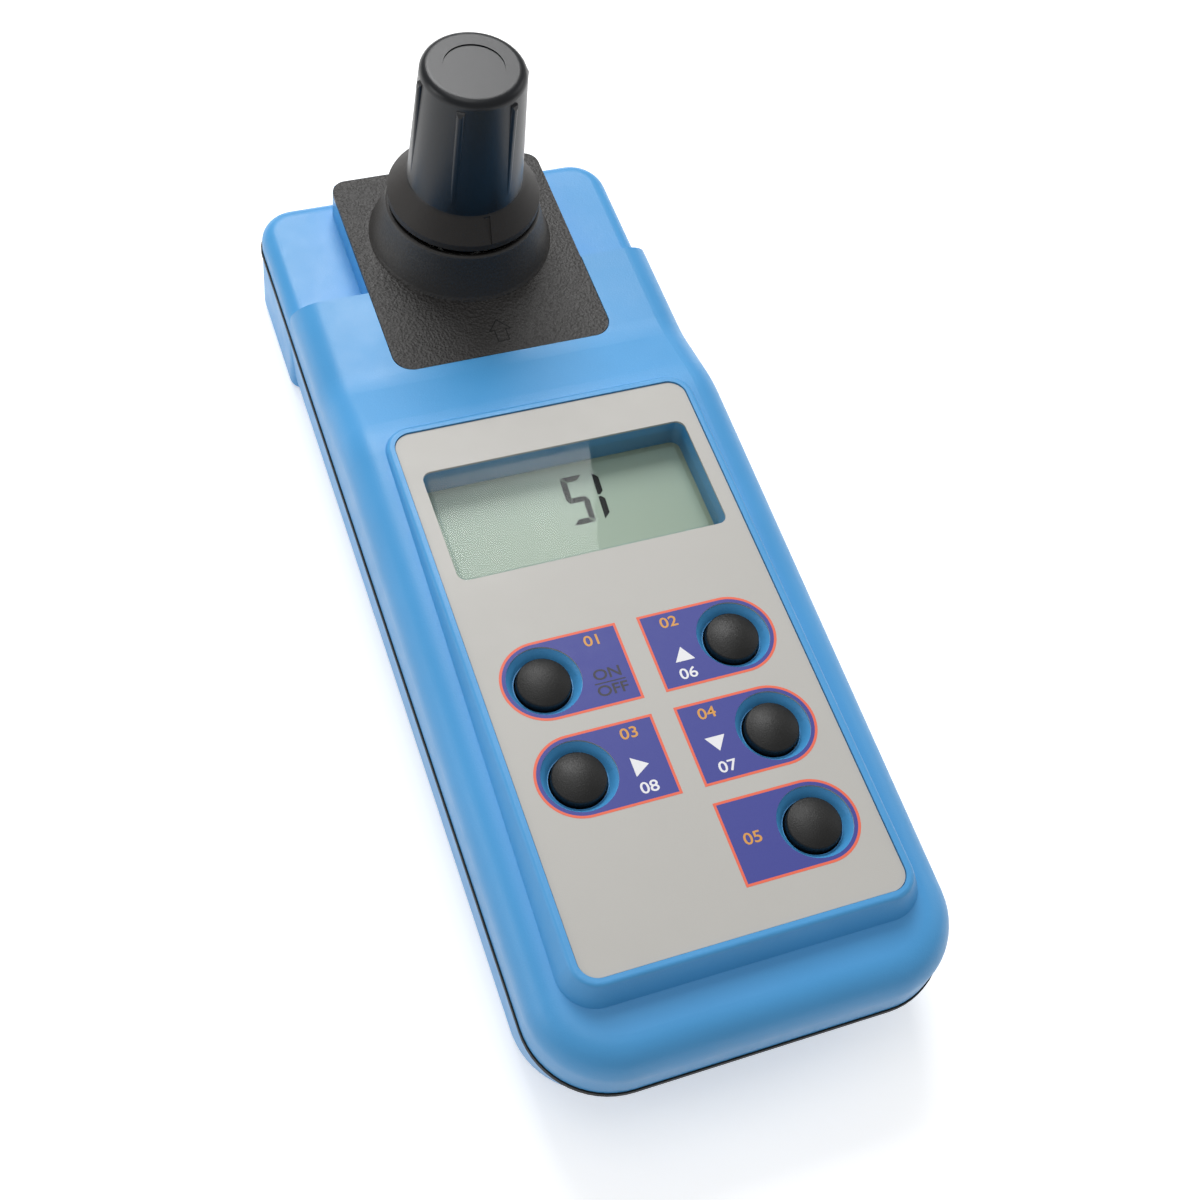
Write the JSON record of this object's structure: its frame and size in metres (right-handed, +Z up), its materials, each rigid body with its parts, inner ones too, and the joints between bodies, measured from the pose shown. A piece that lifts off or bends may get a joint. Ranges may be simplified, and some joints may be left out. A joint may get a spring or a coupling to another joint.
{
  "type": "turbidity meter",
  "caption": "Portable turbidity meter: two-shell blue case with keypad and display, glass cuvette in a light-tight well under a tall ribbed cap, battery door.",
  "frame": {"origin": "centre of the case's outline in plan, on the surface that the meter stands on", "axes": "+Z up, +Y along the case towards the cuvette end, +X to the right seen from the key end"},
  "size_m": [0.0826, 0.2126, 0.079],
  "materials": {
    "blue_plastic": "fine satin moulded",
    "black_plastic": "fine leather grain",
    "cap_plastic": "smooth satin",
    "black_rubber": "matte",
    "key_rubber": "matte",
    "silicone": "translucent matte",
    "label": "printed satin film",
    "clear_window": "clear gloss",
    "glass": "clear gloss",
    "lcd": "satin greenish grey",
    "circuit_board": "solder mask",
    "steel": "zinc plated",
    "cell_sleeve": "glossy sleeve",
    "liner": "matte"
  },
  "bodies": {
    "case": {"top_shell": "blue_plastic", "bottom_shell": "blue_plastic", "case_gasket": "black_rubber", "case_screws": "steel", "board_screws": "steel", "holder_screws": "steel", "battery_contacts": "steel", "battery_tray": "black_plastic", "label_plate": "label", "display_window": "clear_window", "lcd_panel": "lcd", "lcd_frame": "black_plastic", "lcd_connectors": "black_rubber", "main_board": "circuit_board", "lamp_board": "circuit_board", "detector_board": "circuit_board", "board_chips": "black_plastic", "buzzer": "black_plastic", "cuvette_holder": "black_plastic", "infrared_lamp": "clear_window", "light_detector": "black_plastic", "optics_ribbon": "black_plastic", "collar_plate": "black_plastic", "collar_seal": "black_rubber", "serial_socket": "black_plastic", "power_socket": "black_plastic", "battery_cell_1": "cell_sleeve", "battery_cell_2": "cell_sleeve", "battery_cell_3": "cell_sleeve", "battery_cell_4": "cell_sleeve", "key_boot_on_off": "silicone", "key_boot_right": "silicone", "key_boot_up": "silicone", "key_boot_down": "silicone", "key_boot_shift": "silicone"},
    "cuvette": {"cuvette_glass": "glass"},
    "cap": {"cuvette_cap": "cap_plastic", "cap_liner": "liner"},
    "door": {"battery_door": "blue_plastic"},
    "key_on_off": {"key_on_off": "key_rubber"},
    "key_right": {"key_right": "key_rubber"},
    "key_up": {"key_up": "key_rubber"},
    "key_down": {"key_down": "key_rubber"},
    "key_shift": {"key_shift": "key_rubber"}
  },
  "joints": [
    {"name": "key_on_off_press", "type": "slide", "parent": "case", "child": "key_on_off", "axis": [0, 0, -1], "range_m": [0, 0.0009], "stiffness_N_per_m": 600, "deforming": ["key_boot_on_off"]},
    {"name": "key_right_press", "type": "slide", "parent": "case", "child": "key_right", "axis": [0, 0, -1], "range_m": [0, 0.0009], "stiffness_N_per_m": 600, "deforming": ["key_boot_right"]},
    {"name": "key_up_press", "type": "slide", "parent": "case", "child": "key_up", "axis": [0, 0, -1], "range_m": [0, 0.0009], "stiffness_N_per_m": 600, "deforming": ["key_boot_up"]},
    {"name": "key_down_press", "type": "slide", "parent": "case", "child": "key_down", "axis": [0, 0, -1], "range_m": [0, 0.0009], "stiffness_N_per_m": 600, "deforming": ["key_boot_down"]},
    {"name": "key_shift_press", "type": "slide", "parent": "case", "child": "key_shift", "axis": [0, 0, -1], "range_m": [0, 0.0009], "stiffness_N_per_m": 600, "deforming": ["key_boot_shift"]},
    {"name": "cuvette_lift", "type": "slide", "parent": "case", "child": "cuvette", "axis": [0, 0, 1], "range_m": [0, 0.05]},
    {"name": "cap_lift", "type": "slide", "parent": "cuvette", "child": "cap", "axis": [0, 0, 1], "range_m": [0, 0.025]},
    {"name": "door_slide", "type": "slide", "parent": "case", "child": "door", "axis": [0, -1, 0], "range_m": [0, 0.085]}
  ]
}
